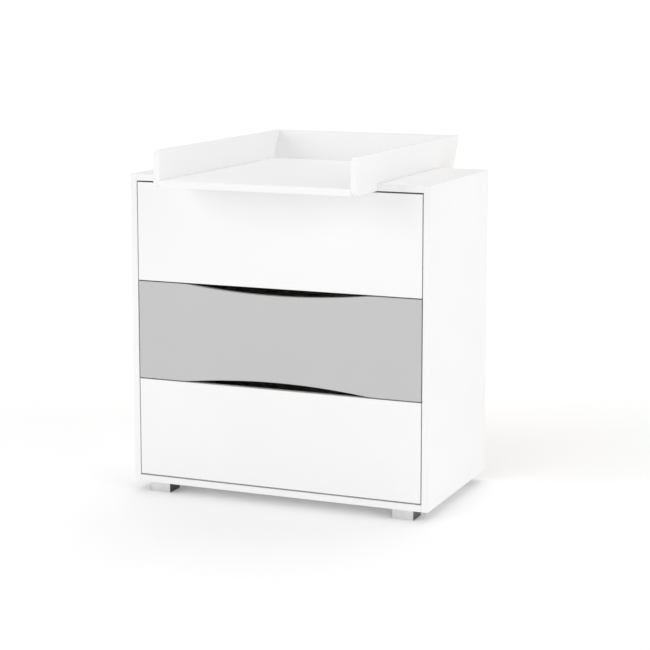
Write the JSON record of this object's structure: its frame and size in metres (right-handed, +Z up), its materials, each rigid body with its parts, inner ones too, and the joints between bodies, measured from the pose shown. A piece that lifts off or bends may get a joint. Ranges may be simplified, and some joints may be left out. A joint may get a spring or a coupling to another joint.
{
  "type": "changing table",
  "caption": "Chest of drawers on square feet, with a wave-edged middle front as finger pulls and an open-fronted changing tray that stands out in front and behind.",
  "frame": {"origin": "on the floor under the middle of the whole outline, tray included", "axes": "+X to the right as seen from the front, +Y from the drawer fronts to the back, +Z up"},
  "size_m": [0.857, 0.788, 0.957],
  "materials": {
    "white_board": "satin white lacquer",
    "grey_board": "satin grey lacquer",
    "drawer_board": "white melamine",
    "fibreboard": "white faced fibreboard",
    "foot_metal": "satin",
    "runner_steel": "bright zinc",
    "fastener_zinc": "bright zinc",
    "cam_alloy": "die-cast zinc alloy",
    "beech": "plain beech"
  },
  "bodies": {
    "chest": {"side_panel_left": "white_board", "side_panel_right": "white_board", "top_panel": "white_board", "bottom_panel": "white_board", "back_panel": "fibreboard", "foot_front_left": "foot_metal", "foot_front_right": "foot_metal", "foot_rear_left": "foot_metal", "foot_rear_right": "foot_metal", "foot_screws": "fastener_zinc", "panel_dowels": "beech", "panel_cam_bolts": "fastener_zinc", "panel_cam_locks": "cam_alloy", "back_panel_screws": "fastener_zinc", "runner_outer_top": "runner_steel", "runner_outer_middle": "runner_steel", "runner_outer_bottom": "runner_steel", "runner_outer_screws": "fastener_zinc", "tray_wall_left": "white_board", "tray_wall_right": "white_board", "tray_wall_back": "white_board", "tray_shelf_front": "white_board", "tray_shelf_rear": "white_board", "tray_dowels": "beech", "tray_screws": "fastener_zinc"},
    "drawer_top": {"drawer_top_front": "white_board", "drawer_top_side_left": "drawer_board", "drawer_top_side_right": "drawer_board", "drawer_top_back": "drawer_board", "drawer_top_base": "fibreboard", "drawer_top_cam_bolts": "fastener_zinc", "drawer_top_cam_locks": "cam_alloy", "drawer_top_runner_inner": "runner_steel", "drawer_top_runner_screws": "fastener_zinc"},
    "slider_top": {"runner_middle_top": "runner_steel"},
    "drawer_middle": {"drawer_middle_front": "grey_board", "drawer_middle_side_left": "drawer_board", "drawer_middle_side_right": "drawer_board", "drawer_middle_back": "drawer_board", "drawer_middle_base": "fibreboard", "drawer_middle_cam_bolts": "fastener_zinc", "drawer_middle_cam_locks": "cam_alloy", "drawer_middle_runner_inner": "runner_steel", "drawer_middle_runner_screws": "fastener_zinc"},
    "slider_middle": {"runner_middle_middle": "runner_steel"},
    "drawer_bottom": {"drawer_bottom_front": "white_board", "drawer_bottom_side_left": "drawer_board", "drawer_bottom_side_right": "drawer_board", "drawer_bottom_back": "drawer_board", "drawer_bottom_base": "fibreboard", "drawer_bottom_cam_bolts": "fastener_zinc", "drawer_bottom_cam_locks": "cam_alloy", "drawer_bottom_runner_inner": "runner_steel", "drawer_bottom_runner_screws": "fastener_zinc"},
    "slider_bottom": {"runner_middle_bottom": "runner_steel"}
  },
  "joints": [
    {"name": "drawer_top_slide", "type": "slide", "parent": "chest", "child": "drawer_top", "axis": [0, -1, 0], "range_m": [0, 0.4]},
    {"name": "slider_top_slide", "type": "slide", "parent": "chest", "child": "slider_top", "axis": [0, -1, 0], "range_m": [0, 0.2]},
    {"name": "drawer_middle_slide", "type": "slide", "parent": "chest", "child": "drawer_middle", "axis": [0, -1, 0], "range_m": [0, 0.4]},
    {"name": "slider_middle_slide", "type": "slide", "parent": "chest", "child": "slider_middle", "axis": [0, -1, 0], "range_m": [0, 0.2]},
    {"name": "drawer_bottom_slide", "type": "slide", "parent": "chest", "child": "drawer_bottom", "axis": [0, -1, 0], "range_m": [0, 0.4]},
    {"name": "slider_bottom_slide", "type": "slide", "parent": "chest", "child": "slider_bottom", "axis": [0, -1, 0], "range_m": [0, 0.2]}
  ],
  "couplings": [
    {"joint": "slider_top_slide", "follows": "drawer_top_slide", "ratio": 0.5},
    {"joint": "slider_middle_slide", "follows": "drawer_middle_slide", "ratio": 0.5},
    {"joint": "slider_bottom_slide", "follows": "drawer_bottom_slide", "ratio": 0.5}
  ]
}
